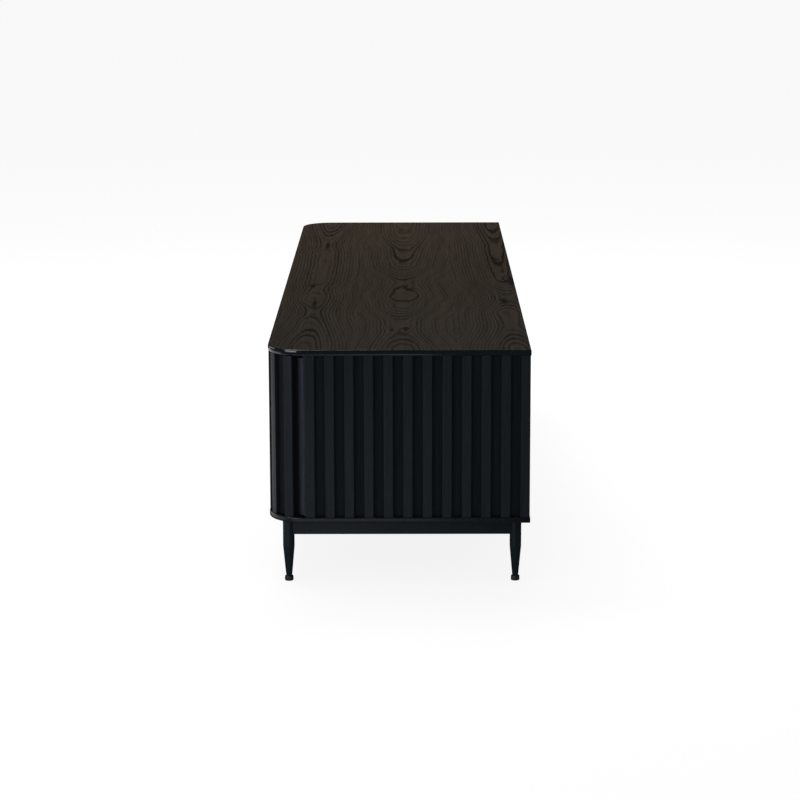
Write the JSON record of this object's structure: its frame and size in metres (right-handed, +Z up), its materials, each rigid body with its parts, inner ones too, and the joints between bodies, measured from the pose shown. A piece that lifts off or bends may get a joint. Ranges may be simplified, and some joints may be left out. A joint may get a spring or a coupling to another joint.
{
  "type": "sideboard",
  "caption": "Low slatted sideboard with rounded front corners, hinged push-to-open doors and a slim steel base on tapered legs.",
  "frame": {"origin": "floor level under the centre of the top board", "axes": "+X along the length, front faces -Y, +Z up"},
  "size_m": [1.6, 0.45, 0.411],
  "materials": {
    "top_veneer": "dark brown stained oak veneer, satin lacquer",
    "black_oak": "black stained oak, matt lacquer",
    "inner_board": "black melamine-faced board",
    "back_board": "black painted fibreboard",
    "black_steel": "fine-textured black powder coat",
    "foot_plastic": "black nylon",
    "latch_plastic": "dark grey moulded plastic",
    "zinc_steel": "zinc-plated steel",
    "bush_brass": "turned brass",
    "dowel_beech": "raw beech"
  },
  "bodies": {
    "case": {"top_panel": "top_veneer", "bottom_panel": "black_oak", "end_panel_right": "black_oak", "end_panel_left": "black_oak", "end_slats_right": "black_oak", "end_slats_left": "black_oak", "sub_top": "inner_board", "partition_right": "inner_board", "partition_left": "inner_board", "shelf_right": "inner_board", "shelf_left": "inner_board", "shelf_middle": "inner_board", "back_panel": "back_board", "leg_front_right": "black_steel", "leg_front_left": "black_steel", "leg_back_right": "black_steel", "leg_back_left": "black_steel", "rail_front": "black_steel", "rail_back": "black_steel", "rail_end_right": "black_steel", "rail_end_left": "black_steel", "rail_cross_right": "black_steel", "rail_cross_left": "black_steel", "latch_housings": "latch_plastic", "pivot_washers": "latch_plastic", "pivot_pins": "zinc_steel", "case_leaves": "zinc_steel", "case_leaf_screws": "zinc_steel", "frame_screws": "zinc_steel", "top_screws": "zinc_steel", "back_screws": "zinc_steel", "shelf_pins": "zinc_steel", "joint_dowels": "dowel_beech"},
    "outer_door_right": {"outer_door_right": "black_oak", "outer_door_slats_right": "black_oak", "pivot_bushes_right": "bush_brass", "outer_strike_right": "zinc_steel"},
    "inner_door_right": {"inner_door_right": "black_oak", "inner_door_slats_right": "black_oak", "door_leaves_right": "zinc_steel", "door_leaf_screws_right": "zinc_steel", "inner_strike_right": "zinc_steel"},
    "outer_plunger_right": {"outer_plunger_right": "latch_plastic"},
    "inner_plunger_right": {"inner_plunger_right": "latch_plastic"},
    "foot_front_right": {"foot_front_right": "foot_plastic"},
    "foot_back_right": {"foot_back_right": "foot_plastic"},
    "outer_door_left": {"outer_door_left": "black_oak", "outer_door_slats_left": "black_oak", "pivot_bushes_left": "bush_brass", "outer_strike_left": "zinc_steel"},
    "inner_door_left": {"inner_door_left": "black_oak", "inner_door_slats_left": "black_oak", "door_leaves_left": "zinc_steel", "door_leaf_screws_left": "zinc_steel", "inner_strike_left": "zinc_steel"},
    "outer_plunger_left": {"outer_plunger_left": "latch_plastic"},
    "inner_plunger_left": {"inner_plunger_left": "latch_plastic"},
    "foot_front_left": {"foot_front_left": "foot_plastic"},
    "foot_back_left": {"foot_back_left": "foot_plastic"}
  },
  "joints": [
    {"name": "outer_door_right_hinge", "type": "hinge", "parent": "case", "child": "outer_door_right", "pos_m": [0.781, -0.16, 0.26], "axis": [0, 0, 1], "range_deg": [0, 90]},
    {"name": "inner_door_right_hinge", "type": "hinge", "parent": "case", "child": "inner_door_right", "pos_m": [0.40423, -0.216, 0.26], "axis": [0, 0, 1], "range_deg": [0, 90]},
    {"name": "outer_latch_right_push", "type": "slide", "parent": "case", "child": "outer_plunger_right", "axis": [0, 1, 0], "range_m": [0, 0.003], "stiffness_N_per_m": 500},
    {"name": "inner_latch_right_push", "type": "slide", "parent": "case", "child": "inner_plunger_right", "axis": [0, 1, 0], "range_m": [0, 0.003], "stiffness_N_per_m": 500},
    {"name": "foot_front_right_screw", "type": "hinge", "parent": "case", "child": "foot_front_right", "pos_m": [0.7705, -0.191, 0.01], "axis": [0, 0, 1], "continuous": true},
    {"name": "foot_back_right_screw", "type": "hinge", "parent": "case", "child": "foot_back_right", "pos_m": [0.7705, 0.201, 0.01], "axis": [0, 0, 1], "continuous": true},
    {"name": "outer_door_left_hinge", "type": "hinge", "parent": "case", "child": "outer_door_left", "pos_m": [-0.781, -0.16, 0.26], "axis": [0, 0, -1], "range_deg": [0, 90]},
    {"name": "inner_door_left_hinge", "type": "hinge", "parent": "case", "child": "inner_door_left", "pos_m": [-0.40423, -0.216, 0.26], "axis": [0, 0, -1], "range_deg": [0, 90]},
    {"name": "outer_latch_left_push", "type": "slide", "parent": "case", "child": "outer_plunger_left", "axis": [0, 1, 0], "range_m": [0, 0.003], "stiffness_N_per_m": 500},
    {"name": "inner_latch_left_push", "type": "slide", "parent": "case", "child": "inner_plunger_left", "axis": [0, 1, 0], "range_m": [0, 0.003], "stiffness_N_per_m": 500},
    {"name": "foot_front_left_screw", "type": "hinge", "parent": "case", "child": "foot_front_left", "pos_m": [-0.7705, -0.191, 0.01], "axis": [0, 0, 1], "continuous": true},
    {"name": "foot_back_left_screw", "type": "hinge", "parent": "case", "child": "foot_back_left", "pos_m": [-0.7705, 0.201, 0.01], "axis": [0, 0, 1], "continuous": true}
  ]
}
